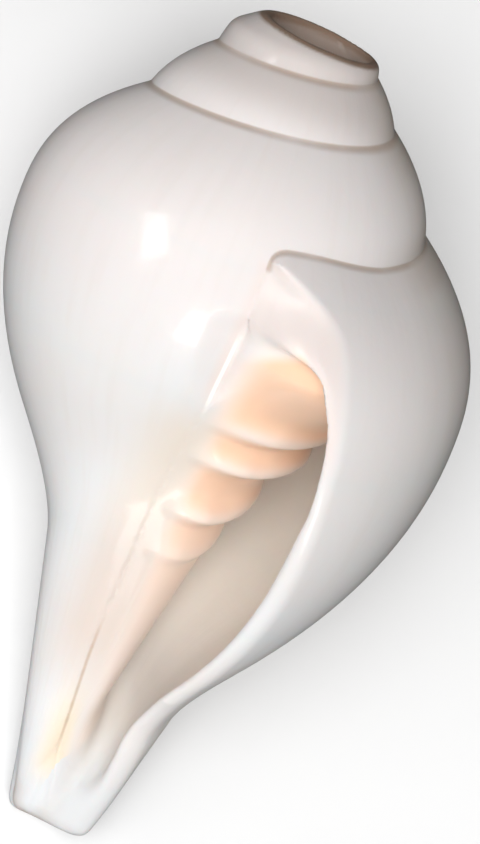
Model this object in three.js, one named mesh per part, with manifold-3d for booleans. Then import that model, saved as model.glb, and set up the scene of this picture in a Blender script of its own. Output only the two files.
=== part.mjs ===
import * as THREE from 'three';
import { mergeVertices } from 'three/addons/utils/BufferGeometryUtils.js';
import Module from 'manifold-3d';

// A spiral sea shell, cut open at the apex so that it can be blown, grown as one solid piece.
// It is drawn about its coiling axis: the canal tip is at height 0 and the spire points up.
// Growth is counted in turns: 0 at the outer lip, -1 one whole turn back toward the apex.
// Lengths are in millimetres.
const TAU = 2 * Math.PI;

// Spiral growth
const LIP_WHORL_RADIUS = 50.9;
const RADIUS_GROWTH = 0.437;
const SPIRE_TOP = 153.13;
const SPIRE_DROP = 35.45;
const SPIRE_GROWTH = 0.6126;
const SPIRE_EASE = -0.0195;
const APEX_LIFT = 6;
const APEX_LIFT_TURN = -2.28;

// Whorl profile
const SHOULDER_DROP = 0.6265;
const SHOULDER_EASE = -0.106;
const SHOULDER_POWER = 2.52;
const SUTURE_RADIUS_RATIO = 0.6394;
const BELLY_CURVE = 0.4114;
const BELLY_BLEND = 8;

// Columella and siphonal canal
const TIP_RADIUS = 1.33;
const COLUMELLA_SLOPE = 0.2306;
const COLUMELLA_LIMIT = 72;
const COLUMELLA_GROWTH = 0.4;
const CANAL_WIDTH = 12.67;
const CANAL_START_TURN = -0.706;
const CANAL_FULL_TURN = -0.108;
const CALLUS_THICKNESS = 0.6;
const TIP_CALLUS = 3;
const TIP_CALLUS_LENGTH = 15;

// Outer lip and inner lip
const LIP_TOP_TURN = 0.048;
const LIP_TOP_HEIGHT = 116.6;
const LIP_FLARE = 0.046;
const LIP_FLARE_HEIGHT = 105;
const LIP_BEND_HEIGHT = 34;
const LIP_BEND_TURN = -0.038;
const LIP_SLOPE = 0.000485;
const CANAL_LIP_SLOPE = 0.003;
const LIP_ROUNDING = 2.2;
const INNER_LIP_TURN = -0.952;
const INNER_LIP_BEND = 0.15;
const INNER_LIP_BEND_HEIGHT = 40;

// Folds on the columella, from the top one down
const FOLD_HEIGHTS = [83, 74.5, 63.5, 55];
const FOLD_DEPTHS = [3.6, 4.2, 3.0, 1.6];
const FOLD_UPPER_WIDTH = 4.2;
const FOLD_LOWER_WIDTH = 1.5;
const FOLD_RISE_TURN = -1.1;

// Hollow inside the whorls
const LIP_WALL = 3.4;
const BODY_WALL = 4.6;
const BACK_WALL = 2.4;
const BACK_WALL_TURN = -0.47;
const HOLLOW_TOP_RATIO = 0.31;
const HOLLOW_ARCH_RATIO = 0.25;
const HOLLOW_FOOT_RATIO = 1.02;
const HOLLOW_START_TURN = -2.3;
const HOLLOW_END_TURN = 0.1;

// Cut apex and blow hole
const RIM_HEIGHT = 148.2;
const RIM_RADIUS = 10.6;
const RIM_OFFSET = 0.85;
const RIM_BEARING = 62;
const RIM_TILT = 3.7;
const RIM_TAPER = 1.2;
const BORE_RADIUS = 7.7;
const BORE_FOOT_RADIUS = 5;
const BORE_FOOT_HEIGHT = 116;

// Lying at rest on its back with the aperture up
const REST_SPIN = -75.2;
const REST_PITCH = 21;

// Mesh steps
const STEPS_PER_TURN = 40;
const SPIRE_ROWS = 5;
const BODY_ROWS = 17;

function smoothStep(value) {
  const x = Math.min(Math.max(value, 0), 1);
  return x * x * (3 - 2 * x);
}

function smoothMax(a, b, width) {
  const h = Math.max(width - Math.abs(a - b), 0) / width;
  return Math.max(a, b) + (h * h * width) / 4;
}

function smoothMin(a, b, width) {
  return -smoothMax(-a, -b, width);
}

function mix(a, b, share) {
  return a + (b - a) * share;
}

function whorlRadius(turn) {
  return LIP_WHORL_RADIUS * Math.exp(RADIUS_GROWTH * turn);
}

function plainSuture(turn) {
  return SPIRE_TOP - SPIRE_DROP * Math.exp(SPIRE_GROWTH * turn + SPIRE_EASE * turn * turn);
}

function sutureHeight(turn) {
  return plainSuture(turn) + APEX_LIFT * smoothStep((APEX_LIFT_TURN - turn) / 0.25);
}

function widestHeight(turn) {
  return plainSuture(turn) - SHOULDER_DROP * whorlRadius(turn) * Math.exp(SHOULDER_EASE * turn);
}

function columellaRadius(turn, z) {
  const cone = TIP_RADIUS + COLUMELLA_SLOPE * smoothMin(z, COLUMELLA_LIMIT, 20);
  return cone * Math.exp(COLUMELLA_GROWTH * Math.min(turn + 1, 0));
}

// Radius of the outer skin of one whorl at a height
function whorlProfile(turn, z) {
  const radius = whorlRadius(turn);
  const widest = widestHeight(turn);
  if (z > widest) {
    const rise = (z - widest) / (sutureHeight(turn) - widest);
    return radius * (1 - (1 - SUTURE_RADIUS_RATIO) * rise ** SHOULDER_POWER);
  }
  const belly = radius * (1 - BELLY_CURVE * ((widest - z) / radius) ** 2);
  const canal = smoothStep((turn - CANAL_START_TURN) / (CANAL_FULL_TURN - CANAL_START_TURN));
  return smoothMax(belly, columellaRadius(turn, z) + CANAL_WIDTH * canal, BELLY_BLEND);
}

// The skin narrows to a round neck just under the cut rim
function rimLimit(bearing, z) {
  const offset = RIM_OFFSET * Math.cos(bearing - THREE.MathUtils.degToRad(RIM_BEARING));
  return RIM_RADIUS + offset + RIM_TAPER * (RIM_HEIGHT - z);
}

function skinRadius(turn, z) {
  return smoothMin(whorlProfile(turn, z), rimLimit(-TAU * turn, z), 3);
}

function lipTurn(z) {
  const height = Math.min(z, LIP_TOP_HEIGHT);
  const slope = height > LIP_BEND_HEIGHT ? LIP_SLOPE : CANAL_LIP_SLOPE;
  const flare = Math.max(height - LIP_FLARE_HEIGHT, 0) / (LIP_TOP_HEIGHT - LIP_FLARE_HEIGHT);
  return LIP_BEND_TURN + slope * (height - LIP_BEND_HEIGHT) + LIP_FLARE * flare ** 3;
}

function innerLipTurn(z) {
  const low = Math.max(INNER_LIP_BEND_HEIGHT - z, 0) / INNER_LIP_BEND_HEIGHT;
  return INNER_LIP_TURN - INNER_LIP_BEND * low * low;
}

function pointAt(turn, radius, z) {
  return [radius * Math.cos(-TAU * turn), radius * Math.sin(-TAU * turn), z];
}

class Surface {
  constructor() {
    this.points = [];
    this.faces = [];
  }

  point(xyz) {
    this.points.push(...xyz);
    return this.points.length / 3 - 1;
  }

  face(a, b, c) {
    if (a !== b && b !== c && c !== a) {
      this.faces.push(a, b, c);
    }
  }

  quad(a, b, c, d) {
    this.face(a, b, c);
    this.face(a, c, d);
  }

  geometry() {
    const shape = new THREE.BufferGeometry();
    shape.setAttribute('position', new THREE.Float32BufferAttribute(this.points, 3));
    shape.setIndex(this.faces);
    return shape;
  }
}

// Columns of one turn: even steps, with two close ones that round the lip edge
function turnFractions() {
  const fractions = [];
  for (let step = 0; step < STEPS_PER_TURN; step += 1) {
    fractions.push(step / STEPS_PER_TURN);
  }
  fractions.push(1 - 0.0055, 1 - 0.0015);
  return fractions;
}

// Turn of a body whorl column at a height: the last columns follow the lip, the first the inner lip
function bodyTurn(fraction, z) {
  const nearLip = smoothStep((fraction - 0.7) / 0.3);
  const nearInnerLip = 1 - smoothStep(fraction / 0.3);
  const even = INNER_LIP_TURN + fraction;
  const lipShift = lipTurn(z) - LIP_TOP_TURN;
  return even + nearLip * lipShift + nearInnerLip * (innerLipTurn(z) - INNER_LIP_TURN);
}

function lipDrop(fraction, radius) {
  const before = (1 - fraction) * TAU * radius;
  const inside = Math.max(LIP_ROUNDING - before, 0);
  return LIP_ROUNDING - Math.sqrt(LIP_ROUNDING ** 2 - Math.min(inside, LIP_ROUNDING) ** 2);
}

function outerBody() {
  const surface = new Surface();
  const fractions = turnFractions();
  const count = fractions.length;
  const first = Math.round(count / 2);
  const body = 3 * count;
  const last = 4 * count;
  const columnTurn = (column) => INNER_LIP_TURN - 3 + Math.floor(column / count) + fractions[column % count];
  const columns = [];

  for (let column = first; column <= last; column += 1) {
    const turn = columnTurn(column);
    const z = sutureHeight(turn);
    const under = turn > -3 ? skinRadius(turn - 1, z) : skinRadius(turn, z);
    columns[column] = [surface.point(pointAt(turn, under, z))];
  }

  for (let column = first; column <= body; column += 1) {
    const turn = columnTurn(column);
    const top = sutureHeight(turn);
    const foot = sutureHeight(turn + 1);
    for (let row = 1; row < SPIRE_ROWS; row += 1) {
      const z = mix(top, foot, row / SPIRE_ROWS);
      columns[column].push(surface.point(pointAt(turn, skinRadius(turn, z), z)));
    }
    columns[column].push(columns[column + count][0]);
  }

  const lipGap = sutureHeight(INNER_LIP_TURN) - sutureHeight(LIP_TOP_TURN);
  for (let column = body; column <= last; column += 1) {
    const fraction = column === last ? 1 : fractions[column - body];
    const evenTurn = INNER_LIP_TURN + fraction;
    const top = sutureHeight(evenTurn);
    const gap = lipGap * Math.exp(RADIUS_GROWTH * fraction);
    for (let row = columns[column].length; row <= SPIRE_ROWS + BODY_ROWS; row += 1) {
      const upper = row <= SPIRE_ROWS;
      const share = upper ? row / SPIRE_ROWS : (row - SPIRE_ROWS) / BODY_ROWS;
      const z = upper ? top - gap * share : (top - gap) * (1 - share);
      const turn = bodyTurn(fraction, z);
      const radius = skinRadius(turn, z);
      columns[column].push(surface.point(pointAt(turn, radius - lipDrop(fraction, radius), z)));
    }
  }

  for (let column = first; column < last; column += 1) {
    const left = columns[column];
    const right = columns[column + 1];
    const rows = column < body ? SPIRE_ROWS : SPIRE_ROWS + BODY_ROWS;
    for (let row = 0; row < rows; row += 1) {
      surface.quad(left[row], right[row], right[row + 1], left[row + 1]);
    }
  }

  // End face from the lip edge across to the inner lip
  const lip = columns[last];
  const inner = columns[body].slice(SPIRE_ROWS);
  const heightOf = (index) => surface.points[3 * index + 2];
  let a = 0;
  let b = 0;
  while (a < lip.length - 1 || b < inner.length - 1) {
    const canStepLip = a < lip.length - 1;
    const canStepInner = b < inner.length - 1;
    if (canStepLip && (!canStepInner || heightOf(lip[a + 1]) > heightOf(inner[b + 1]))) {
      surface.face(lip[a], inner[b], lip[a + 1]);
      a += 1;
    } else {
      surface.face(lip[a], inner[b], inner[b + 1]);
      b += 1;
    }
  }

  // Canal tip and apex
  const foot = SPIRE_ROWS + BODY_ROWS;
  const tip = surface.point([0, 0, 0]);
  for (let column = body; column < last; column += 1) {
    surface.face(tip, columns[column][foot], columns[column + 1][foot]);
  }
  surface.face(tip, columns[last][foot], columns[body][foot]);
  const apex = surface.point([0, 0, SPIRE_TOP + 2 * APEX_LIFT]);
  for (let column = first; column < first + count; column += 1) {
    surface.face(apex, columns[column + 1][0], columns[column][0]);
  }
  for (let row = 0; row < SPIRE_ROWS; row += 1) {
    surface.face(apex, columns[first][row], columns[first][row + 1]);
  }
  return surface.geometry();
}

function foldHeight(fold, turn) {
  const back = Math.min(turn - FOLD_RISE_TURN, 0);
  return SPIRE_TOP - (SPIRE_TOP - FOLD_HEIGHTS[fold]) * Math.exp(SPIRE_GROWTH * back);
}

function foldScale(turn) {
  return Math.exp(SPIRE_GROWTH * Math.min(turn - FOLD_RISE_TURN, 0));
}

function foldThickness(turn, z) {
  const scale = foldScale(turn);
  const fade = smoothStep((INNER_LIP_TURN - turn) / 0.09);
  let thickness = 0;
  for (let fold = 0; fold < FOLD_HEIGHTS.length; fold += 1) {
    const above = (z - foldHeight(fold, turn)) / scale;
    const width = above > 0 ? FOLD_UPPER_WIDTH : FOLD_LOWER_WIDTH;
    thickness = Math.max(thickness, FOLD_DEPTHS[fold] * Math.exp(-((above / width) ** 2)));
  }
  return thickness * fade * scale;
}

// Wall that the hollow turns around: the whorl before it, its callus and the folds
function innerWall(turn, z) {
  const back = turn - 1;
  const fade = smoothStep((innerLipTurn(z) - back) / 0.05);
  const callus = CALLUS_THICKNESS + TIP_CALLUS * Math.exp(-Math.max(z, 0) / TIP_CALLUS_LENGTH);
  const past = smoothStep((back - innerLipTurn(z) + 0.012) / 0.03);
  const wall = whorlProfile(back, Math.max(z, 0)) + callus * fade + foldThickness(back, z) + mix(-0.2, 1, past);
  const open = smoothStep((-1.75 - turn) / 0.4);
  return mix(wall, 3, open);
}

function wallThickness(turn) {
  const body = mix(LIP_WALL, BODY_WALL, smoothStep(-(turn + 0.03) / 0.2));
  const back = BACK_WALL * Math.exp(-(((turn - BACK_WALL_TURN) / 0.2) ** 2));
  return body * Math.exp(0.3 * Math.min(turn + 0.6, 0)) + back;
}

function outerWall(turn, z) {
  return whorlProfile(Math.min(turn, LIP_TOP_TURN), Math.max(z, 0)) - wallThickness(turn);
}

function hollowTop(turn) {
  return sutureHeight(turn) - HOLLOW_TOP_RATIO * whorlRadius(turn);
}

// The foot of the hollow climbs from the open canal, round the back, to the deep whorls
function hollowFoot(turn) {
  const deep = widestHeight(turn) - HOLLOW_FOOT_RATIO * whorlRadius(turn);
  const canal = mix(-4, 42, smoothStep((-0.17 - turn) / 0.2) ** 0.7);
  return mix(canal, deep, smoothStep((-0.24 - turn) / 0.4));
}

function hollowSection(turn) {
  const top = hollowTop(turn);
  const foot = hollowFoot(turn);
  const arch = HOLLOW_ARCH_RATIO * whorlRadius(turn);
  const footArch = Math.max(arch * smoothStep((-0.15 - turn) / 0.25), 0.01);
  const scale = foldScale(turn - 1);
  const fullness = (z) => {
    const high = Math.max(z - (top - arch), 0) / arch;
    const low = Math.max(foot + footArch - z, 0) / footArch;
    return Math.sqrt(Math.max(1 - high * high, 0)) * Math.sqrt(Math.max(1 - low * low, 0.03));
  };
  const side = (z, outward) => {
    const inner = innerWall(turn, z);
    const outer = Math.max(outerWall(turn, z), inner + 1);
    const middle = mix(inner, outer, 0.45);
    return mix(middle, outward ? outer : inner, fullness(z));
  };

  const innerHeights = [];
  const firstFold = foldHeight(0, turn - 1) + 4 * scale;
  for (let step = 0; step < 5; step += 1) {
    innerHeights.push(mix(top, firstFold, Math.sin((step / 5) * (Math.PI / 2)) ** 2));
  }
  for (let fold = 0; fold < FOLD_HEIGHTS.length; fold += 1) {
    const crest = foldHeight(fold, turn - 1);
    for (const offset of [4, 1.6, 0, -1.1, -2.6]) {
      innerHeights.push(crest + offset * scale);
    }
  }
  const underFolds = innerHeights[innerHeights.length - 1];
  for (let step = 1; step <= 6; step += 1) {
    innerHeights.push(mix(underFolds, foot, step / 6));
  }

  const section = innerHeights.map((z) => pointAt(turn, side(z, false), z));
  const outerSteps = 11;
  for (let step = 0; step < outerSteps; step += 1) {
    const z = mix(foot, top, Math.sin((step / outerSteps) * (Math.PI / 2)));
    section.push(pointAt(turn, side(z, true), z));
  }
  return section;
}

function hollow() {
  const turns = [];
  for (let turn = HOLLOW_START_TURN; turn < -0.46; turn += 0.054) {
    turns.push(turn);
  }
  for (let turn = -0.45; turn <= HOLLOW_END_TURN + 1e-6; turn += 0.025) {
    turns.push(turn);
  }
  const surface = new Surface();
  const rings = turns.map((turn) => hollowSection(turn).map((xyz) => surface.point(xyz)));
  const size = rings[0].length;
  for (let ring = 0; ring < rings.length - 1; ring += 1) {
    for (let step = 0; step < size; step += 1) {
      const next = (step + 1) % size;
      surface.quad(rings[ring][step], rings[ring][next], rings[ring + 1][next], rings[ring + 1][step]);
    }
  }
  for (const [ring, flip] of [[rings[0], false], [rings[rings.length - 1], true]]) {
    const middle = [0, 0, 0];
    for (const index of ring) {
      for (let axis = 0; axis < 3; axis += 1) {
        middle[axis] += surface.points[3 * index + axis] / size;
      }
    }
    const centre = surface.point(middle);
    for (let step = 0; step < size; step += 1) {
      const next = (step + 1) % size;
      const pair = flip ? [ring[step], ring[next]] : [ring[next], ring[step]];
      surface.face(centre, pair[0], pair[1]);
    }
  }
  return surface.geometry();
}

// Frame of the sawn rim: its middle, tilted a little from the coiling axis
const rimFrame = new THREE.Object3D();
const rimBearing = THREE.MathUtils.degToRad(RIM_BEARING);
rimFrame.position.set(RIM_OFFSET * Math.cos(rimBearing), RIM_OFFSET * Math.sin(rimBearing), RIM_HEIGHT);
rimFrame.rotation.set(0, THREE.MathUtils.degToRad(RIM_TILT), rimBearing, 'ZYX');
rimFrame.updateMatrix();

function apexCut() {
  const shape = new THREE.BoxGeometry(90, 90, 40);
  shape.translate(0, 0, 20);
  return shape.applyMatrix4(rimFrame.matrix);
}

function bore() {
  const depth = RIM_HEIGHT - BORE_FOOT_HEIGHT;
  const profile = [
    new THREE.Vector2(0, -depth - 0.6 * BORE_FOOT_RADIUS),
    new THREE.Vector2(0.75 * BORE_FOOT_RADIUS, -depth - 0.4 * BORE_FOOT_RADIUS),
    new THREE.Vector2(BORE_FOOT_RADIUS, -depth),
    new THREE.Vector2(BORE_RADIUS - 0.5, -0.35 * depth),
    new THREE.Vector2(BORE_RADIUS, 0),
    new THREE.Vector2(BORE_RADIUS, 5),
    new THREE.Vector2(0, 5),
  ];
  const shape = new THREE.LatheGeometry(profile, 30);
  shape.rotateX(Math.PI / 2);
  return shape.applyMatrix4(rimFrame.matrix);
}

const wasm = await Module();
wasm.setup();

function solid(shape) {
  shape.deleteAttribute('normal');
  shape.deleteAttribute('uv');
  const merged = mergeVertices(shape, 1e-4);
  return new wasm.Manifold(new wasm.Mesh({
    numProp: 3,
    vertProperties: new Float32Array(merged.attributes.position.array),
    triVerts: new Uint32Array(merged.index.array),
  }));
}

const shellSolid = solid(outerBody())
  .subtract(solid(hollow()))
  .subtract(solid(bore()))
  .subtract(solid(apexCut()));
const shellMesh = shellSolid.getMesh();

const shellGeometry = new THREE.BufferGeometry();
shellGeometry.setAttribute('position', new THREE.BufferAttribute(shellMesh.vertProperties, 3));
shellGeometry.setIndex(new THREE.BufferAttribute(shellMesh.triVerts, 1));
shellGeometry.computeVertexNormals();

const shell = new THREE.Mesh(
  shellGeometry,
  new THREE.MeshStandardMaterial({ color: 0xe9e4e0, roughness: 0.25, metalness: 0 }),
);
shell.name = 'shell';
shell.rotation.z = THREE.MathUtils.degToRad(REST_SPIN);

const laid = new THREE.Group();
laid.rotation.x = THREE.MathUtils.degToRad(REST_PITCH - 90);
laid.add(shell);

const part = new THREE.Group();
part.add(laid);
part.updateMatrixWorld(true);
const box = new THREE.Box3().setFromObject(part, true);
laid.position.set(-(box.min.x + box.max.x) / 2, -(box.min.y + box.max.y) / 2, -box.min.z);
part.updateMatrixWorld(true);

export default part;
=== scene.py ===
import math

import bpy
import numpy as np
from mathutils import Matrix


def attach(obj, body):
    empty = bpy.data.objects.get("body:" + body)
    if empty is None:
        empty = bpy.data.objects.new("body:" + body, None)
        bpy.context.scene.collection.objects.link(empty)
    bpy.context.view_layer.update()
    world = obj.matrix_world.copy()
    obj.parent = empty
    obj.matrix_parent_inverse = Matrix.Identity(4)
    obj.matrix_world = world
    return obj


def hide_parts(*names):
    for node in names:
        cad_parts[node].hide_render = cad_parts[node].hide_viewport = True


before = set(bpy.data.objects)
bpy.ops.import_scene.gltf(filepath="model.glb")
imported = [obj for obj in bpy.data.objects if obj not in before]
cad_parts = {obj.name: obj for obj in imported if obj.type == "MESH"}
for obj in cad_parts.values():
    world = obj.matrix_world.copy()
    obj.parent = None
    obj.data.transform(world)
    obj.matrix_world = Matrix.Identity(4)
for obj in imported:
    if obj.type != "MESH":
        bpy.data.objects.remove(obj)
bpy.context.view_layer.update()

import openvdb
from mathutils import Matrix, Vector

# Lengths are in millimetres about the coiling axis: the canal tip is at height 0, the spire points up.
# Growth is counted in turns: 0 at the outer lip, -1 one whole turn back toward the apex.
TAU = 2 * math.pi
MM_PER_M = 1000

# Spiral growth
LIP_WHORL_RADIUS = 50.9
RADIUS_GROWTH = 0.437
SPIRE_TOP = 153.13
SPIRE_DROP = 35.45
SPIRE_GROWTH = 0.6126
SPIRE_EASE = -0.0195
APEX_LIFT = 6.0
APEX_LIFT_TURN = -2.28
APEX_LIFT_LENGTH = 0.25
LIP_LIFT = 1.5
LIP_LIFT_TURN = -0.07
LIP_LIFT_LENGTH = 0.1
EARLIER_WHORLS = (2, 3, 4)

# Whorl profile
SHOULDER_DROP = 0.6265
SHOULDER_EASE = -0.106
SHOULDER_POWER = 2.52
SHOULDER_LIMIT = 2.5
SUTURE_RADIUS_RATIO = 0.6394
BELLY_CURVE = 0.4114
BELLY_BLEND = 8.0
SUTURE_BLEND = 0.3
TIP_BLEND = 6.0
TIP_BLEND_HEIGHT = 14

# Columella and siphonal canal
TIP_RADIUS = 1.33
COLUMELLA_SLOPE = 0.2306
COLUMELLA_LIMIT = 72.0
COLUMELLA_BLEND = 20
COLUMELLA_GROWTH = 0.4
CANAL_WIDTH = 12.67
CANAL_START_TURN = -0.706
CANAL_FULL_TURN = -0.108

# Callus that the inner lip spreads over the whorl before it
CALLUS_THICKNESS = 0.6
CALLUS_FADE = 0.05
CALLUS_ROOF_GAP = 2
CALLUS_ROOF_FADE = 8
TIP_CALLUS = 1.4
TIP_CALLUS_LENGTH = 15.0
TIP_CALLUS_FADE = 0.16
TIP_CALLUS_HEIGHT = 50
TIP_CALLUS_EASE = 40

# Outer lip and inner lip
LIP_TOP_TURN = 0.048
LIP_TOP_HEIGHT = 116.6
LIP_FLARE = 0.046
LIP_FLARE_HEIGHT = 105.0
LIP_BEND_HEIGHT = 34.0
LIP_BEND_TURN = -0.038
LIP_SLOPE = 0.000485
LIP_OVERRUN = 0.03
CANAL_LIP_SLOPE = 0.003
INNER_LIP_TURN = -0.952
INNER_LIP_BEND = 0.15
INNER_LIP_BEND_HEIGHT = 40.0
END_FACE_POWER = 1.4
END_FACE_ROUNDING = 3.2

# Folds on the columella, from the top one down
FOLD_HEIGHTS = (83.0, 75.3, 64.0, 55.5)
FOLD_DEPTHS = (3.0, 3.4, 2.6, 1.1)
FOLD_PALENESS = (1, 1, 0.8, 0.4)
FOLD_UPPER_WIDTH = 3.4
FOLD_LOWER_WIDTH = 1.5
FOLD_FADE = 0.09
FOLD_RISE_TURN = -1.1
FOLD_RISE_BLEND = 0.16
FOLD_START_RISE = 2.2
FOLD_START_TURN = -1.08
FOLD_START_LENGTH = 0.14
CREST_OFFSET = 0.3
CREST_WIDTH = 1.7
CREST_FADE = 0.05

# Pad that lines the aperture's upper end, and the room it leaves to the outer lip
PAD_THICKNESS = 4.2
PAD_FOOT = 62
PAD_RISE = 20
PAD_LENGTH = 0.2
PAD_TOP_THICKNESS = 9.0
PAD_TOP_FOOT = 84
PAD_TOP_RISE = 16
PAD_TOP_LENGTH = 0.075
PAD_FADE_TURN = -1.16
PAD_END_TURN = -1.55
PAD_ROOF_GAP = 5
PAD_ROOF_FADE = 9
LINING_GAP = 1.2
LINING_LIP_GAP = 4
LINING_LIP_LENGTH = 0.04
LEAST_LINING = 0.6

# Flat end of the canal
TIP_CUT_TILT = math.radians(15.85)
TIP_CUT_SLOPE = math.radians(5.4)
TIP_CUT_HEIGHT = -1.6
TIP_CUT_ROUNDING = 2.6

# Wall of the whorls
LIP_WALL = 3.4
LIP_THINNING = 1.4
BODY_WALL = 4.6
BODY_WALL_TURN = -0.03
BODY_WALL_LENGTH = 0.2
BACK_WALL = 2.4
BACK_WALL_TURN = -0.47
BACK_WALL_LENGTH = 0.2
WALL_GROWTH = 0.3
WALL_GROWTH_TURN = -0.6

# Hollow inside the whorls
HOLLOW_TURNS = (0, 1, 2)
HOLLOW_START_TURN = -2.3
HOLLOW_START_ROUNDING = 3.0
HOLLOW_ROUNDING = 2.5
TROUGH_ROUNDING = 6.0
NEAR_LIP_LENGTH = 0.1
UPPER_HEIGHT = 70
UPPER_RISE = 14
LEAST_RADIUS = 4
EDGE_STOP = 12
EDGE_STOP_LENGTH = 0.08
CORE_RADIUS = 3
CORE_TURN = -1.75
CORE_LENGTH = 0.4
HOLLOW_TOP_RATIO = 0.28
ROOF_ROUNDING_RATIO = 0.26
LIP_ROOF_ROUNDING = 3.0
LIP_ROOF_TURN = -0.12
LIP_ROOF_LENGTH = 0.08
HOLLOW_FOOT_RATIO = 1.02
FOOT_ROUNDING = 5.0
FOOT_START_TURN = -0.24
FOOT_START_LENGTH = 0.4
FOOT_CLEARANCE = 12

# Floor of the canal
CANAL_FLOOR_TURN = -0.17
CANAL_FLOOR_SLOPE = 0.0028
CANAL_FLOOR_BEND = 0.00035
CANAL_FLOOR_BEND_HEIGHT = 8
CANAL_FLOOR_LIFT = 3.5
CANAL_FLOOR_LIFT_LENGTH = 18
CANAL_FLOOR_ROUNDING = 8.0
CANAL_TOP = 60
CANAL_CLEARANCE = 40

# Rounding of the aperture's edges
INNER_EDGE_ROUNDING = 0.3
OUTER_EDGE_ROUNDING = 2.4
UPPER_EDGE_SHARPENING = 0.8
PAD_EDGE_ROUNDING = 4.0
PAD_EDGE_HEIGHT = 86
PAD_EDGE_RISE = 8
PAD_EDGE_TURN = -0.08
PAD_EDGE_LENGTH = 0.04

# Cut apex and blow hole
RIM_HEIGHT = 148.2
RIM_RADIUS = 10.6
RIM_OFFSET = 0.85
RIM_BEARING = math.radians(62)
RIM_TILT = math.radians(3.7)
RIM_TAPER = 1.2
RIM_TAPER_ROUNDING = 0.8
RIM_ROUNDING = 1.0
BORE_RADIUS = 9.0
BORE_FOOT_RADIUS = 5.0
BORE_DEPTH = RIM_HEIGHT - 116.0
BORE_FLARE = 0.6
BORE_FOOT_GAP = 2
BORE_FOOT_ROUNDING = 6.0
BORE_ROUNDING = 1.2

# Lying at rest on its back with the aperture up
REST_SPIN = math.radians(-75.2)
REST_PITCH = math.radians(21.0)
REST_SHIFT = (-4.545, -70.175, 7.008)

# View: the camera stands in front of the aperture and a little toward the apex
VIEW_BEARING = math.radians(-28)
VIEW_TILT = math.radians(15.85)
VIEW_ROLL = math.radians(21.18)
VIEW_HEIGHT = 75.0
VIEW_DISTANCE = 700.0
VIEW_FOCAL_PX = 4033.0
VIEW_POINT_PX = (166.5, 424.2)
FRAME_PX = (480, 844)
SENSOR_WIDTH = 36

# Slanted upper edge of the orange lining
LINING_TOP = 79.2
LINING_EDGE = 2.6

# Surface mesh
GRID_LOW = np.array([-46.0, -50.0, -9.0])
GRID_HIGH = np.array([54.0, 54.0, 151.0])
VOXEL = 0.56
BLOCK = 4
NEAR_SURFACE = 5.0
POINTS_AT_ONCE = 200000
SURFACE_MOVES = 3
SLOPE_STEP = 0.04
NORMAL_STEP = 0.12
LEAST_SLOPE = 0.05
TINY = 1e-9
PIECE_NAMES = ("shell_canal", "shell_mouth", "shell_shoulder", "shell_spire")
PIECE_HEIGHTS = (55.0, 88.0, 114.0)

# Value of a mark where its line is far away
FAR = 9.0

# Tints of the shell, from the outer skin to the sawn rim
PALE_BODY = (0.735, 0.735, 0.735, 1)
WARM_BODY = (0.74, 0.715, 0.70, 1)
PINK_SHOULDER = (0.755, 0.70, 0.685, 1)
GROWTH_STREAK = (0.69, 0.635, 0.595, 1)
# Painted shade: darker tint on the spire, for the whorls turned away from the lights
SPIRE_PAINTED_SHADE = (0.55, 0.495, 0.47, 1)
# Painted shade: darker, warmer tint for the side of the body turned away from the lights
PAINTED_SHADE_SIDE = (0.66, 0.60, 0.535, 1)
COOL_TIP = (0.66, 0.685, 0.705, 1)
LIP_FACET = (0.75, 0.67, 0.64, 1)
# Pale lining of the hollow, made extra light: partly its own colour, partly painted light standing in for
# light reaching inside
PALE_HOLLOW_PAINTED_LIGHT = (0.97, 0.915, 0.83, 1)
PALE_LINING = (0.89, 0.80, 0.74, 1)
PEACH_LINING = (0.95, 0.615, 0.42, 1)
# Brown stain around the sutures, partly painted shade: it is laid only on the side turned from the lights
SUTURE_STAIN_AND_SHADE = (0.52, 0.43, 0.36, 1)
SUTURE_SEAM = (0.42, 0.31, 0.235, 1)
AMBER_GLAZE = (0.90, 0.70, 0.44, 1)
LOW_BLUSH = (0.65, 0.55, 0.485, 1)
HIGH_BLUSH = (0.76, 0.68, 0.595, 1)
INNER_LIP_EDGE = (0.46, 0.31, 0.20, 1)
# Painted highlight: near-white line along the callus edge of the inner lip
INNER_LIP_PAINTED_HIGHLIGHT = (0.98, 0.95, 0.90, 1)
BORE_SHADE = (0.38, 0.30, 0.255, 1)
SAWN_RIM = (0.27, 0.185, 0.135, 1)
PALE_FLOOR = (0.80, 0.80, 0.80, 1)

# Each light's angles sideways and upward from the line of sight in degrees, its distance and size in metres,
# its watts, and whether it shows in the shell's gloss
LIGHTS = {
    "key": (-39, 3, 2.4, (1.2, 0.6), 9, True),
    "second": (-15, -51, 2.4, (0.8, 0.7), 8, True),
    "main": (-20, -20, 3.0, (1.6, 1.6), 9, False),
    "front": (0, 0, 3.0, (2.0, 2.0), 86, False),
    "side": (38, -42, 3.0, (1.5, 1.5), 20, False),
    "top": (5, 45, 3.0, (1.5, 1.5), 6, False),
}
LIGHT_CENTRE = Vector((0, 0, 0.04))
WORLD_STRENGTH = 0.02


def smooth_step(value):
    x = np.clip(value, 0, 1)
    return x * x * (3 - 2 * x)


def fade_in(value, start, length):
    return smooth_step((value - start) / length)


def fade_out(value, end, length):
    return smooth_step((end - value) / length)


def smooth_max(a, b, width):
    h = np.maximum(width - np.abs(a - b), 0) / width
    return np.maximum(a, b) + h * h * width / 4


def smooth_min(a, b, width):
    return -smooth_max(-a, -b, width)


def mix(a, b, share):
    return a + (b - a) * share


def whorl_radius(turn):
    return LIP_WHORL_RADIUS * np.exp(RADIUS_GROWTH * turn)


def plain_suture(turn):
    return SPIRE_TOP - SPIRE_DROP * np.exp(SPIRE_GROWTH * turn + SPIRE_EASE * turn * turn)


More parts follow.
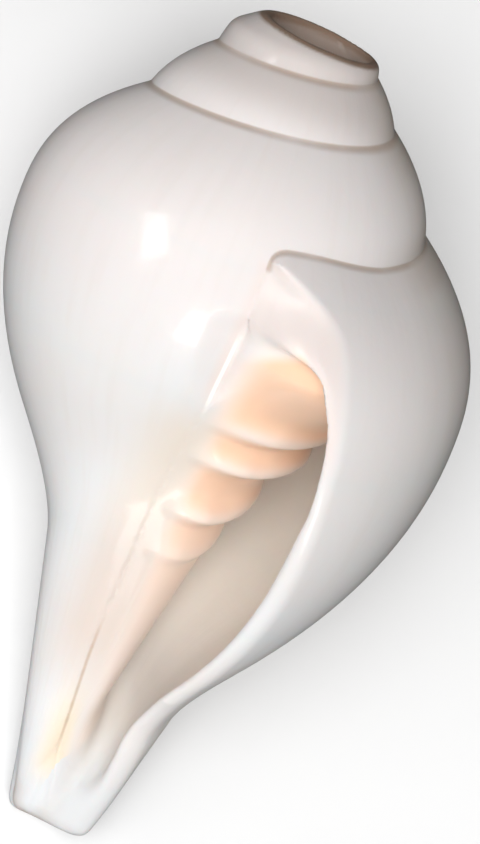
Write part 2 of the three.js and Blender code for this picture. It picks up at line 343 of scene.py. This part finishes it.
def suture_height(turn):
    apex = APEX_LIFT * fade_out(turn, APEX_LIFT_TURN, APEX_LIFT_LENGTH)
    return plain_suture(turn) + apex + LIP_LIFT * fade_in(turn, LIP_LIFT_TURN, LIP_LIFT_LENGTH)


def widest_height(turn):
    return plain_suture(turn) - SHOULDER_DROP * whorl_radius(turn) * np.exp(SHOULDER_EASE * turn)


def columella_radius(turn, z):
    cone = TIP_RADIUS + COLUMELLA_SLOPE * smooth_min(z, COLUMELLA_LIMIT, COLUMELLA_BLEND)
    return cone * np.exp(COLUMELLA_GROWTH * np.minimum(turn + 1, 0))


def whorl_profile(turn, z):
    """Radius of the outer skin of one whorl at a height."""
    radius = whorl_radius(turn)
    widest = widest_height(turn)
    rise = np.maximum(z - widest, 0) / (suture_height(turn) - widest)
    drop = np.minimum(rise, SHOULDER_LIMIT) ** SHOULDER_POWER
    shoulder = radius * (1 - (1 - SUTURE_RADIUS_RATIO) * drop)
    belly = radius * (1 - BELLY_CURVE * (np.maximum(widest - z, 0) / radius) ** 2)
    canal = fade_in(turn, CANAL_START_TURN, CANAL_FULL_TURN - CANAL_START_TURN)
    low = smooth_max(belly, columella_radius(turn, z) + CANAL_WIDTH * canal, BELLY_BLEND)
    return np.where(z > widest, shoulder, low)


def lip_turn(z):
    height = np.minimum(z, LIP_TOP_HEIGHT)
    slope = np.where(height > LIP_BEND_HEIGHT, LIP_SLOPE, CANAL_LIP_SLOPE)
    flare = np.maximum(height - LIP_FLARE_HEIGHT, 0) / (LIP_TOP_HEIGHT - LIP_FLARE_HEIGHT)
    return LIP_BEND_TURN + slope * (height - LIP_BEND_HEIGHT) + LIP_FLARE * flare ** 3


def inner_lip_turn(z):
    low = np.maximum(INNER_LIP_BEND_HEIGHT - z, 0) / INNER_LIP_BEND_HEIGHT
    return INNER_LIP_TURN - INNER_LIP_BEND * low * low


def above_folds(turn, z):
    """Size of the folds at a turn, and the height above each fold's crest in that size."""
    scale = np.exp(SPIRE_GROWTH * smooth_min(turn - FOLD_RISE_TURN, 0, FOLD_RISE_BLEND))
    start = FOLD_START_RISE * fade_in(turn, FOLD_START_TURN, FOLD_START_LENGTH)
    crests = [SPIRE_TOP - (SPIRE_TOP - height - start) * scale for height in FOLD_HEIGHTS]
    return scale, [(z - crest) / scale for crest in crests]


def fold_thickness(turn, z):
    scale, heights = above_folds(turn, z)
    thickness = np.zeros_like(z)
    for above, depth in zip(heights, FOLD_DEPTHS):
        width = np.where(above > 0, FOLD_UPPER_WIDTH, FOLD_LOWER_WIDTH)
        thickness = np.maximum(thickness, depth * np.exp(-(above / width) ** 2))
    return thickness * fade_out(turn, INNER_LIP_TURN, FOLD_FADE) * scale


def fold_crest(turn, z):
    """How near a point is to the pale crest of a fold."""
    _, heights = above_folds(turn, z)
    crest = np.zeros_like(z)
    for above, paleness in zip(heights, FOLD_PALENESS):
        crest = np.maximum(crest, paleness * np.exp(-((above - CREST_OFFSET) / CREST_WIDTH) ** 2))
    return crest * fade_out(turn, INNER_LIP_TURN, CREST_FADE)


def pad_thickness(turn, z):
    """Thick lining of the aperture's upper end, which closes it against the outer lip."""
    top = fade_in(z, PAD_TOP_FOOT, PAD_TOP_RISE)
    level = PAD_THICKNESS * fade_in(z, PAD_FOOT, PAD_RISE) + PAD_TOP_THICKNESS * top
    ramp = fade_out(turn, INNER_LIP_TURN, mix(PAD_LENGTH, PAD_TOP_LENGTH, top))
    fade = 1 - fade_out(turn, PAD_FADE_TURN, PAD_FADE_TURN - PAD_END_TURN)
    below = fade_out(z, suture_height(turn + 1) - PAD_ROOF_GAP, PAD_ROOF_FADE)
    return level * ramp * fade * below


def inner_surface(turn, z):
    """Skin of an earlier whorl with the callus, the folds and the pad that the aperture shows on it."""
    width = mix(CALLUS_FADE, TIP_CALLUS_FADE, fade_out(z, TIP_CALLUS_HEIGHT, TIP_CALLUS_EASE))
    fade = fade_out(turn, inner_lip_turn(z), width)
    fade = fade * fade_out(z, suture_height(turn + 1) - CALLUS_ROOF_GAP, CALLUS_ROOF_FADE)
    callus = CALLUS_THICKNESS + TIP_CALLUS * np.exp(-np.maximum(z, 0) / TIP_CALLUS_LENGTH)
    lining = callus * fade + fold_thickness(turn, z) + pad_thickness(turn, z)
    skin = whorl_profile(turn, z)
    lip = lip_turn(z)
    room = whorl_profile(np.minimum(turn + 1, lip + LIP_OVERRUN), z) - skin
    at_lip = smooth_step((turn + 1 - lip + LINING_LIP_LENGTH) / LINING_LIP_LENGTH)
    room = room - LINING_GAP - LINING_LIP_GAP * at_lip
    return skin + np.minimum(lining, np.maximum(room, LEAST_LINING))


def wall_thickness(turn):
    body = mix(LIP_WALL, BODY_WALL, fade_out(turn, BODY_WALL_TURN, BODY_WALL_LENGTH))
    back = BACK_WALL * np.exp(-((turn - BACK_WALL_TURN) / BACK_WALL_LENGTH) ** 2)
    return body * np.exp(WALL_GROWTH * np.minimum(turn - WALL_GROWTH_TURN, 0)) + back


def hollow_foot(turn):
    return widest_height(turn) - HOLLOW_FOOT_RATIO * whorl_radius(turn)


def canal_floor_turn(z):
    bend = CANAL_FLOOR_BEND * np.maximum(z - CANAL_FLOOR_BEND_HEIGHT, 0) ** 2
    return CANAL_FLOOR_TURN - CANAL_FLOOR_SLOPE * np.maximum(z, 0) - bend


def rim_axes():
    side = np.array([math.cos(RIM_BEARING), math.sin(RIM_BEARING), 0])
    middle = side * RIM_OFFSET + np.array([0, 0, RIM_HEIGHT])
    normal = side * math.sin(RIM_TILT) + np.array([0, 0, math.cos(RIM_TILT)])
    return middle, normal


def tip_axes():
    front, right = view_sides()
    down = np.array([0, 0, -math.cos(TIP_CUT_TILT)]) + front * math.sin(TIP_CUT_TILT)
    normal = down * math.cos(TIP_CUT_SLOPE) - right * math.sin(TIP_CUT_SLOPE)
    return np.array([0, 0, TIP_CUT_HEIGHT]), normal


def view_sides():
    front = np.array([math.cos(VIEW_BEARING), math.sin(VIEW_BEARING), 0])
    right = np.array([-math.sin(VIEW_BEARING), math.cos(VIEW_BEARING), 0])
    return front, right


def slant_up():
    """Upward direction across the slanted edge of the orange lining."""
    front, right = view_sides()
    up = np.array([0, 0, math.cos(VIEW_TILT)]) - front * math.sin(VIEW_TILT)
    return up * math.cos(VIEW_ROLL) - right * math.sin(VIEW_ROLL)


def polar(p):
    """Distance from the coiling axis, turn of the bearing (from -0.5 to 0.5) and height."""
    return np.hypot(p[:, 0], p[:, 1]), -np.arctan2(p[:, 1], p[:, 0]) / TAU, p[:, 2]


def last_whorl(r, base, z):
    """Fields of the last half turn up to its end face, of the whorl inside it, and of the end face."""
    lip = lip_turn(z)
    inner = inner_surface(base - 1, z)
    skin = whorl_profile(np.minimum(base, lip + LIP_OVERRUN), z)
    share = np.clip((skin - r) / np.maximum(skin - inner, 1), 0, 1)
    end_turn = lip + (inner_lip_turn(z) + 1 - lip) * share ** END_FACE_POWER
    end = (base - end_turn) * TAU * r
    return smooth_max(r - skin, end, END_FACE_ROUNDING), r - inner, end


def rim_place(p):
    """Height above the sawn rim's plane and distance from its middle."""
    middle, normal = rim_axes()
    offset = p - middle
    along = offset @ normal
    return along, np.linalg.norm(offset - along[:, None] * normal, axis=1)


def bore_radius(along):
    return mix(BORE_FOOT_RADIUS, BORE_RADIUS, np.clip(1 + along / BORE_DEPTH, 0, 1) ** BORE_FLARE)


def canal_floor(r, turn, z):
    """Field of the canal's floor, which ends the hollow near the tip."""
    floor = (canal_floor_turn(z) - turn) * TAU * np.maximum(r, LEAST_RADIUS)
    floor = floor + CANAL_FLOOR_LIFT * np.exp(-np.maximum(z, 0) / CANAL_FLOOR_LIFT_LENGTH)
    return np.where(z < CANAL_TOP, floor, -CANAL_CLEARANCE)


def hollow_field(r, turn, z, with_canal):
    """Field of the hollow inside one turn, and how wide its edge is rounded."""
    wall = inner_surface(turn - 1, z)
    past = smooth_step((turn - 1 - inner_lip_turn(z)) / EDGE_STOP_LENGTH)
    wall = mix(wall + EDGE_STOP * past, CORE_RADIUS, fade_out(turn, CORE_TURN, CORE_LENGTH))
    at_lip = fade_in(turn, -NEAR_LIP_LENGTH, NEAR_LIP_LENGTH)
    high = fade_in(z, UPPER_HEIGHT, UPPER_RISE)
    outside = whorl_profile(np.minimum(turn, LIP_TOP_TURN), z) - wall_thickness(turn)
    outside = outside + LIP_THINNING * high * at_lip
    hollow = smooth_max(wall - r, r - outside, mix(HOLLOW_ROUNDING, TROUGH_ROUNDING, high * at_lip))
    roof = suture_height(turn) - HOLLOW_TOP_RATIO * whorl_radius(turn)
    lip_roof = fade_in(turn, LIP_ROOF_TURN, LIP_ROOF_LENGTH)
    rounding = mix(ROOF_ROUNDING_RATIO * whorl_radius(turn), LIP_ROOF_ROUNDING, lip_roof)
    hollow = smooth_max(hollow, z - roof, rounding)
    if with_canal:
        hollow = smooth_max(hollow, canal_floor(r, turn, z), CANAL_FLOOR_ROUNDING)
    deep = fade_out(turn, FOOT_START_TURN, FOOT_START_LENGTH)
    foot = (hollow_foot(turn) - z) * deep - FOOT_CLEARANCE * (1 - deep)
    hollow = smooth_max(hollow, foot, FOOT_ROUNDING)
    start = (HOLLOW_START_TURN - turn) * TAU * np.maximum(r, LEAST_RADIUS)
    hollow = smooth_max(hollow, start, HOLLOW_START_ROUNDING)
    nearer = smooth_step(2.2 * (r - wall) / np.maximum(outside - wall, 1) - 0.4)
    nearer = np.maximum(nearer, smooth_step((r - outside + 4) / 3))
    soft = PAD_EDGE_ROUNDING * fade_in(z, PAD_EDGE_HEIGHT, PAD_EDGE_RISE)
    soft = soft * fade_in(turn, PAD_EDGE_TURN, PAD_EDGE_LENGTH)
    outer = OUTER_EDGE_ROUNDING - UPPER_EDGE_SHARPENING * high
    return hollow, mix(INNER_EDGE_ROUNDING + soft, outer, nearer)


def shell_field(p):
    """Signed field of the shell: below zero inside, close to a distance in millimetres."""
    r, base, z = polar(p)
    body, inside, _ = last_whorl(r, base, z)
    blend = mix(SUTURE_BLEND, TIP_BLEND, fade_out(z, TIP_BLEND_HEIGHT, TIP_BLEND_HEIGHT))
    field = smooth_min(body, inside, blend)
    for back in EARLIER_WHORLS:
        field = smooth_min(field, r - whorl_profile(base - back, z), SUTURE_BLEND)
    along, across = rim_place(p)
    taper = (across - RIM_RADIUS + RIM_TAPER * along) / math.hypot(1, RIM_TAPER)
    field = smooth_max(field, taper, RIM_TAPER_ROUNDING)
    field = smooth_max(field, along, RIM_ROUNDING)
    middle, normal = tip_axes()
    field = smooth_max(field, (p - middle) @ normal, TIP_CUT_ROUNDING)
    for back in HOLLOW_TURNS:
        hollow, edge = hollow_field(r, base - back, z, back == 0)
        field = smooth_max(field, -hollow, edge)
    foot = -along - BORE_DEPTH - BORE_FOOT_GAP
    bore = smooth_max(across - bore_radius(along), foot, BORE_FOOT_ROUNDING)
    return smooth_max(field, -bore, BORE_ROUNDING)


def field_slope(p, step):
    slope = np.empty_like(p)
    for axis, shift in enumerate(np.eye(3) * step):
        slope[:, axis] = (shell_field(p + shift) - shell_field(p - shift)) / (2 * step)
    return slope


def move_to_surface(points):
    """Points moved toward the surface along the field's slope, by half a voxel at most."""
    value = shell_field(points)
    slope = np.empty_like(points)
    for axis, shift in enumerate(np.eye(3) * SLOPE_STEP):
        slope[:, axis] = (shell_field(points + shift) - value) / SLOPE_STEP
    move = -(value / np.maximum((slope ** 2).sum(1), LEAST_SLOPE))[:, None] * slope
    length = np.linalg.norm(move, axis=1, keepdims=True)
    return points + move * np.minimum(1, 0.5 * VOXEL / np.maximum(length, TINY))


def field_grid(low, counts):
    """Field values on the fine grid, worked out only in the blocks that lie near the surface."""
    blocks = -(-counts // BLOCK)
    corners = np.stack(np.meshgrid(*[np.arange(n + 1) for n in blocks], indexing="ij"), -1)
    coarse = shell_field(low + corners.reshape(-1, 3) * BLOCK * VOXEL).reshape(blocks + 1)
    values = np.full(blocks, np.inf)
    for i, j, k in np.ndindex(2, 2, 2):
        part = coarse[i:blocks[0] + i, j:blocks[1] + j, k:blocks[2] + k]
        values = np.where(np.abs(part) < np.abs(values), part, values)
    for axis in range(3):
        values = np.repeat(values, BLOCK, axis=axis)
    values = values[:counts[0], :counts[1], :counts[2]]
    near = np.argwhere(np.abs(values) < NEAR_SURFACE)
    for start in range(0, len(near), POINTS_AT_ONCE):
        part = near[start:start + POINTS_AT_ONCE]
        values[part[:, 0], part[:, 1], part[:, 2]] = shell_field(low + part * VOXEL)
    return values


def shell_mesh():
    """Points, quads and normals of the shell's surface in its own frame."""
    values = field_grid(GRID_LOW, np.ceil((GRID_HIGH - GRID_LOW) / VOXEL).astype(int) + 1)
    limit = 4 * VOXEL
    grid = openvdb.FloatGrid(limit)
    grid.copyFromArray(np.clip(values, -limit, limit).astype(np.float32))
    points, quads = grid.convertToQuads(0.0)
    points = points.astype(np.float64) * VOXEL + GRID_LOW
    for _ in range(SURFACE_MOVES):
        points = move_to_surface(points)
    slope = field_slope(points, NORMAL_STEP)
    normals = slope / np.maximum(np.linalg.norm(slope, axis=1, keepdims=True), TINY)
    return points, quads, normals


def suture_marks(skins, end, base, z):
    """Signed distance across the nearest suture, and the distance to it."""
    gap = np.full_like(z, FAR)
    line = np.full_like(z, FAR)
    for pair in range(len(skins) - 1):
        reach = np.maximum(skins[pair], skins[pair + 1])
        if pair == 0:
            reach = reach + np.maximum(end + 0.5, 0) + np.maximum(suture_height(base) - 3 - z, 0)
        line = np.where(reach < gap, skins[pair] - skins[pair + 1], line)
        gap = np.minimum(reach, gap)
    return line, gap


def surface_marks(p):
    """Values at the surface points that say where each tint belongs."""
    r, base, z = polar(p)
    slant = p @ slant_up()
    body, inside, end = last_whorl(r, base, z)
    skins = [body, inside] + [r - whorl_profile(base - back, z) for back in EARLIER_WHORLS]
    line, gap = suture_marks(skins, end, base, z)
    whorl = np.argmin(np.abs(np.array(skins)), axis=0)
    on_inside = fade_out(np.abs(inside), 1.8, 1.2)
    below = fade_out(z, suture_height(base) - 1, 2)
    past_edge = (inner_lip_turn(z) + 1 - base) * TAU * r
    inner_lip = smooth_step(past_edge / 7)

    under_skin = smooth_step((-body - 0.4) / 0.6) * below
    lining = on_inside * np.maximum(under_skin, smooth_step(base / 0.02) * below) * inner_lip
    skin = whorl_profile(np.minimum(base, lip_turn(z) + LIP_OVERRUN), z)
    trough = fade_in(skin - r, 2.6, 1.6) * fade_in(z, 80, 6) * fade_in(base, -0.12, 0.05)
    trough = trough * fade_out(slant, LINING_TOP + 3, 5)
    lining = np.maximum(lining, trough * below * inner_lip)

    lumen = smooth_step((-body - 1.2) / 1.0) * smooth_step((-end - 1) / 12) * below
    lumen = lumen * fade_in(z, 22, 36)
    facet = fade_out(np.abs(end), 2.5, 2) * fade_in(z, 84, 10) * below
    along, across = rim_place(p)
    bore = smooth_step((bore_radius(along) + 0.7 - across) / 0.5)
    rim_face = np.maximum(fade_in(along, -0.85, 0.4), bore * fade_in(along, -1.6, 0.8))
    return {
        "suture_line": line,
        "suture_gap": gap,
        "growth_turn": base - whorl,
        "height": z,
        "slant_height": slant,
        # Where the painted shade lies: the half turn of the body on the side away from the lights
        "painted_shade_side": fade_out(base, -0.04, 0.14) * fade_in(base, -0.52, 0.14),
        "lining": lining,
        "fold_crest": fold_crest(base - 1, z) * on_inside,
        "lumen": lumen,
        "facet": facet,
        "inner_lip_line": np.where(on_inside > 0.3, past_edge, FAR),
        "rim_face": rim_face,
        "bore": bore * fade_in(along, -34, 4),
    }


def rest_matrix():
    turn = Matrix.Rotation(REST_PITCH - math.pi / 2, 4, "X") @ Matrix.Rotation(REST_SPIN, 4, "Z")
    return Matrix.Scale(1 / MM_PER_M, 4) @ Matrix.Translation(REST_SHIFT) @ turn


def rest_rotation():
    return np.array(rest_matrix())[:3, :3] * MM_PER_M


def to_rest(points):
    m = np.array(rest_matrix())
    return points @ m[:3, :3].T + m[:3, 3]


def build_piece(name, points, quads, normals, marks):
    used, corners = np.unique(quads, return_inverse=True)
    mesh = bpy.data.meshes.new(name)
    mesh.from_pydata(points[used].tolist(), [], corners.reshape(quads.shape).tolist())
    mesh.shade_smooth()
    mesh.normals_split_custom_set_from_vertices(normals[used].tolist())
    for mark, values in marks.items():
        layer = mesh.attributes.new(mark, "FLOAT", "POINT")
        layer.data.foreach_set("value", values[used].astype(np.float32))
    piece = bpy.data.objects.new(name, mesh)
    bpy.context.scene.collection.objects.link(piece)
    return piece


def build_shell():
    """The shell's skin, cut by height into pieces that share their edges."""
    points, quads, normals = shell_mesh()
    world = to_rest(points)
    turned = normals @ rest_rotation().T
    a, b, c = world[quads[:, 0]], world[quads[:, 1]], world[quads[:, 2]]
    if np.einsum("ij,ij->i", np.cross(b - a, c - a), turned[quads[:, 0]]).sum() < 0:
        quads = quads[:, ::-1]
    marks = surface_marks(points)
    level = np.searchsorted(PIECE_HEIGHTS, points[quads[:, 0], 2])
    pieces = []
    for i, name in enumerate(PIECE_NAMES):
        pieces.append(build_piece(name, world, quads[level == i], turned, marks))
    return pieces


class Shading:
    """Short calls for wiring the nodes of one material."""

    def __init__(self, name):
        self.material = bpy.data.materials.new(name)
        self.material.use_nodes = True
        self.tree = self.material.node_tree
        self.shader = self.tree.nodes["Principled BSDF"]

    def wire(self, socket, value):
        if isinstance(value, bpy.types.NodeSocket):
            self.tree.links.new(value, socket)
        else:
            socket.default_value = value

    def mark(self, name):
        node = self.tree.nodes.new("ShaderNodeAttribute")
        node.attribute_name = name
        return node.outputs["Fac"]

    def math(self, operation, a, b):
        node = self.tree.nodes.new("ShaderNodeMath")
        node.operation = operation
        self.wire(node.inputs[0], a)
        self.wire(node.inputs[1], b)
        return node.outputs[0]

    def times(self, first, *others):
        for other in others:
            first = self.math("MULTIPLY", first, other)
        return first

    def rest_of(self, share):
        return self.math("SUBTRACT", 1, share)

    def ramp(self, value, low, high, to_low=0.0, to_high=1.0):
        node = self.tree.nodes.new("ShaderNodeMapRange")
        node.interpolation_type = "SMOOTHSTEP"
        self.wire(node.inputs["Value"], value)
        node.inputs["From Min"].default_value = low
        node.inputs["From Max"].default_value = high
        node.inputs["To Min"].default_value = to_low
        node.inputs["To Max"].default_value = to_high
        return node.outputs["Result"]

    def band(self, value, rise, fall, strength=1.0):
        """Share that rises over one span of a value and falls over a later one."""
        return self.times(self.ramp(value, *rise, 0, strength), self.ramp(value, *fall, 1, 0))

    def tint(self, share, a, b):
        node = self.tree.nodes.new("ShaderNodeMix")
        node.data_type = "RGBA"
        self.wire(node.inputs["Factor"], share)
        self.wire(node.inputs[6], a)
        self.wire(node.inputs[7], b)
        return node.outputs[2]

    def position(self):
        return self.tree.nodes.new("ShaderNodeTexCoord").outputs["Object"]

    def joined(self, x, y, z):
        node = self.tree.nodes.new("ShaderNodeCombineXYZ")
        for socket, value in zip(node.inputs, (x, y, z)):
            self.wire(socket, value)
        return node.outputs[0]

    def noise(self, place, scale, detail):
        node = self.tree.nodes.new("ShaderNodeTexNoise")
        self.wire(node.inputs["Vector"], place)
        node.inputs["Scale"].default_value = scale
        node.inputs["Detail"].default_value = detail
        return node.outputs["Fac"]

    def bump(self, height, strength, distance):
        node = self.tree.nodes.new("ShaderNodeBump")
        self.wire(node.inputs["Height"], height)
        node.inputs["Strength"].default_value = strength
        node.inputs["Distance"].default_value = distance
        return node.outputs["Normal"]


def skin_colour(s, place, height, streak):
    """Outer skin, from the cool tip to the spire darkened with painted shade, with painted shade on the side
    turned from the lights, the lip's flat face and the hollow lightened with painted light.
    """
    cloud = s.noise(place, 28, 2)
    colour = s.tint(s.ramp(cloud, 0.35, 0.65), PALE_BODY, WARM_BODY)
    colour = s.tint(s.ramp(height, 86, 112, 0, 0.75), colour, PINK_SHOULDER)
    colour = s.tint(s.ramp(streak, 0.45, 0.75, 0, 0.22), colour, GROWTH_STREAK)
    # Painted shade: the top whorls darkened toward the apex
    colour = s.tint(s.ramp(height, 133, 141, 0, 0.75), colour, SPIRE_PAINTED_SHADE)
    # Painted shade on the side of the body turned away from the lights
    colour = s.tint(s.times(s.mark("painted_shade_side"), 0.6), colour, PAINTED_SHADE_SIDE)
    colour = s.tint(s.ramp(height, 6, 22, 0.7, 0), colour, COOL_TIP)
    colour = s.tint(s.mark("facet"), colour, LIP_FACET)
    # Pale lining colour plus painted light inside the hollow
    return s.tint(s.mark("lumen"), colour, PALE_HOLLOW_PAINTED_LIGHT)


def lining_colour(s, colour, place, height):
    """Peach columella, paler along the crests of the folds and toward the canal."""
    lining = s.mark("lining")
    high = s.ramp(s.mark("slant_height"), LINING_TOP - LINING_EDGE, LINING_TOP, 1, 0)
    low = s.ramp(height, 30, 86, 0.15, 1)
    crest = s.rest_of(s.times(s.mark("fold_crest"), 0.85))
    patch = s.ramp(s.noise(place, 70, 2), 0.3, 0.7, 0.88, 1)
    colour = s.tint(lining, colour, PALE_LINING)
    return s.tint(s.times(lining, high, low, crest, patch), colour, PEACH_LINING)


def suture_seam(s, place):
    """Share of the thin seam between two whorls, broken up a little."""
    across = s.band(s.mark("suture_line"), (-1.0, -0.1), (0.1, 0.5))
    near = s.ramp(s.mark("suture_gap"), 0.6, 1.8, 1, 0)
    return s.times(across, near, s.ramp(s.noise(place, 90, 2), 0.3, 0.6, 0.55, 1))


def suture_colour(s, colour, seam):
    # Brown halo by the sutures: partly stain, partly painted shade, masked to the side away from the lights
    stain_and_shade = s.band(s.mark("suture_line"), (-9, -0.5), (0.5, 9), 0.5)
    stain_and_shade = s.times(stain_and_shade, s.mark("painted_shade_side"), s.ramp(s.mark("suture_gap"), 3, 8, 1, 0))
    colour = s.tint(stain_and_shade, colour, SUTURE_STAIN_AND_SHADE)
    return s.tint(s.times(seam, 0.66), colour, SUTURE_SEAM)


def inner_lip_colour(s, colour, height):
    """Glaze, blush, dark edge and a painted highlight along the inner lip."""
    line = s.mark("inner_lip_line")
    glaze = s.times(s.band(line, (-5, -0.5), (0.5, 3.5)), s.band(height, (4, 11), (16, 34), 0.55))
    colour = s.tint(glaze, colour, AMBER_GLAZE)
    blush = s.times(s.band(line, (-13, -1.5), (1.5, 6)), s.band(height, (20, 40), (80, 90), 0.85))
    colour = s.tint(blush, colour, s.tint(s.ramp(height, 52, 72), LOW_BLUSH, HIGH_BLUSH))
    edge = s.times(s.band(line, (-0.45, 0), (0.05, 0.5)), s.band(height, (10, 18), (34, 44), 0.55))
    colour = s.tint(edge, colour, INNER_LIP_EDGE)
    # Painted highlight along the upper inner lip edge
    painted_highlight = s.times(s.band(line, (-0.5, -0.1), (0.1, 0.5)), s.band(height, (86, 91), (98, 104), 0.9))
    return s.tint(painted_highlight, colour, INNER_LIP_PAINTED_HIGHLIGHT)


def shell_material():
    s = Shading("polished_shell")
    place = s.position()
    height = s.mark("height")
    grain = s.noise(place, 420, 2)
    growth = s.times(s.mark("growth_turn"), 34)
    streak = s.noise(s.joined(growth, s.times(height, 0.02), 0), 2.2, 3)
    seam = suture_seam(s, place)

    colour = skin_colour(s, place, height, streak)
    colour = lining_colour(s, colour, place, height)
    colour = suture_colour(s, colour, seam)
    colour = inner_lip_colour(s, colour, height)
    colour = s.tint(s.mark("bore"), colour, BORE_SHADE)
    colour = s.tint(s.mark("rim_face"), colour, SAWN_RIM)
    s.wire(s.shader.inputs["Base Color"], colour)

    gloss = s.rest_of(s.times(s.mark("facet"), 0.85))
    gloss = s.times(gloss, s.ramp(height, 20, 84, 0.08, 0.5))
    s.wire(s.shader.inputs["Coat Weight"], gloss)
    s.wire(s.shader.inputs["Specular IOR Level"], s.ramp(height, 30, 84, 0.15, 0.5))
    s.shader.inputs["Roughness"].default_value = 0.3
    s.shader.inputs["Coat Roughness"].default_value = 0.08
    s.shader.inputs["Subsurface Weight"].default_value = 0.12
    s.shader.inputs["Subsurface Scale"].default_value = 0.004
    dent = s.math("ADD", s.times(grain, 0.35), s.times(streak, 0.5))
    dent = s.math("SUBTRACT", dent, s.times(seam, 0.9))
    s.wire(s.shader.inputs["Normal"], s.bump(dent, 0.25, 0.0004))
    return s.material


def add_camera():
    front, right = view_sides()
    axis = np.array([0.0, 0.0, 1.0])
    toward = front * math.cos(VIEW_TILT) + axis * math.sin(VIEW_TILT)
    up = axis * math.cos(VIEW_TILT) - front * math.sin(VIEW_TILT)
    image_right = right * math.cos(VIEW_ROLL) + up * math.sin(VIEW_ROLL)
    image_up = -right * math.sin(VIEW_ROLL) + up * math.cos(VIEW_ROLL)
    eye = axis * VIEW_HEIGHT + toward * VIEW_DISTANCE
    aim_x = FRAME_PX[0] / 2 - VIEW_POINT_PX[0]
    aim_y = VIEW_POINT_PX[1] - FRAME_PX[1] / 2
    look = -toward * VIEW_FOCAL_PX + image_right * aim_x + image_up * aim_y
    turn = rest_rotation()
    back = Vector(turn @ -look).normalized()
    right_hand = Vector(turn @ image_up).cross(back).normalized()
    upward = back.cross(right_hand)
    place = Vector(to_rest(eye[None])[0])
    data = bpy.data.cameras.new("camera")
    data.sensor_width = SENSOR_WIDTH
    data.lens = SENSOR_WIDTH * VIEW_FOCAL_PX / max(FRAME_PX)
    data.clip_start = 0.05
    data.clip_end = 20
    camera = bpy.data.objects.new("camera", data)
    basis = Matrix((right_hand, upward, back)).transposed()
    camera.matrix_world = Matrix.Translation(place) @ basis.to_4x4()
    bpy.context.scene.collection.objects.link(camera)
    bpy.context.scene.camera = camera
    return camera


def add_floor():
    """Pale floor that lights the shell from below and doesn't show in its gloss."""
    bpy.ops.mesh.primitive_plane_add(size=6, location=(0, 0, 0))
    floor = bpy.context.object
    floor.name = "floor"
    material = bpy.data.materials.new("pale_floor")
    material.use_nodes = True
    shader = material.node_tree.nodes["Principled BSDF"]
    shader.inputs["Base Color"].default_value = PALE_FLOOR
    shader.inputs["Roughness"].default_value = 0.9
    floor.data.materials.append(material)
    floor.visible_glossy = False


def add_light(name, camera, sideways, upward, distance, size, watts, mirrored):
    """A light placed by its angles from the camera's line of sight."""
    right = camera.matrix_world.col[0].to_3d()
    up = camera.matrix_world.col[1].to_3d()
    back = camera.matrix_world.col[2].to_3d()
    a, b = math.radians(sideways), math.radians(upward)
    direction = back * math.cos(a) * math.cos(b) + right * math.sin(a) * math.cos(b) + up * math.sin(b)
    data = bpy.data.lights.new(name, "AREA")
    data.shape = "RECTANGLE"
    data.size, data.size_y = size
    data.energy = watts
    light = bpy.data.objects.new(name, data)
    light.visible_glossy = mirrored
    light.location = LIGHT_CENTRE + direction * distance
    light.rotation_mode = "QUATERNION"
    light.rotation_quaternion = direction.to_track_quat("Z", "Y")
    bpy.context.scene.collection.objects.link(light)


def add_world():
    world = bpy.data.worlds.new("studio")
    world.use_nodes = True
    background = world.node_tree.nodes["Background"]
    background.inputs["Color"].default_value = (1, 1, 1, 1)
    background.inputs["Strength"].default_value = WORLD_STRENGTH
    bpy.context.scene.world = world


polished = shell_material()
for piece in build_shell():
    piece.data.materials.append(polished)
    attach(piece, "root")
    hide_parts("shell")
    print(piece.name, 2 * len(piece.data.polygons), "triangles")

camera = add_camera()
add_floor()
for name, settings in LIGHTS.items():
    add_light(name, camera, *settings)
add_world()
bpy.context.scene.view_settings.view_transform = "Standard"
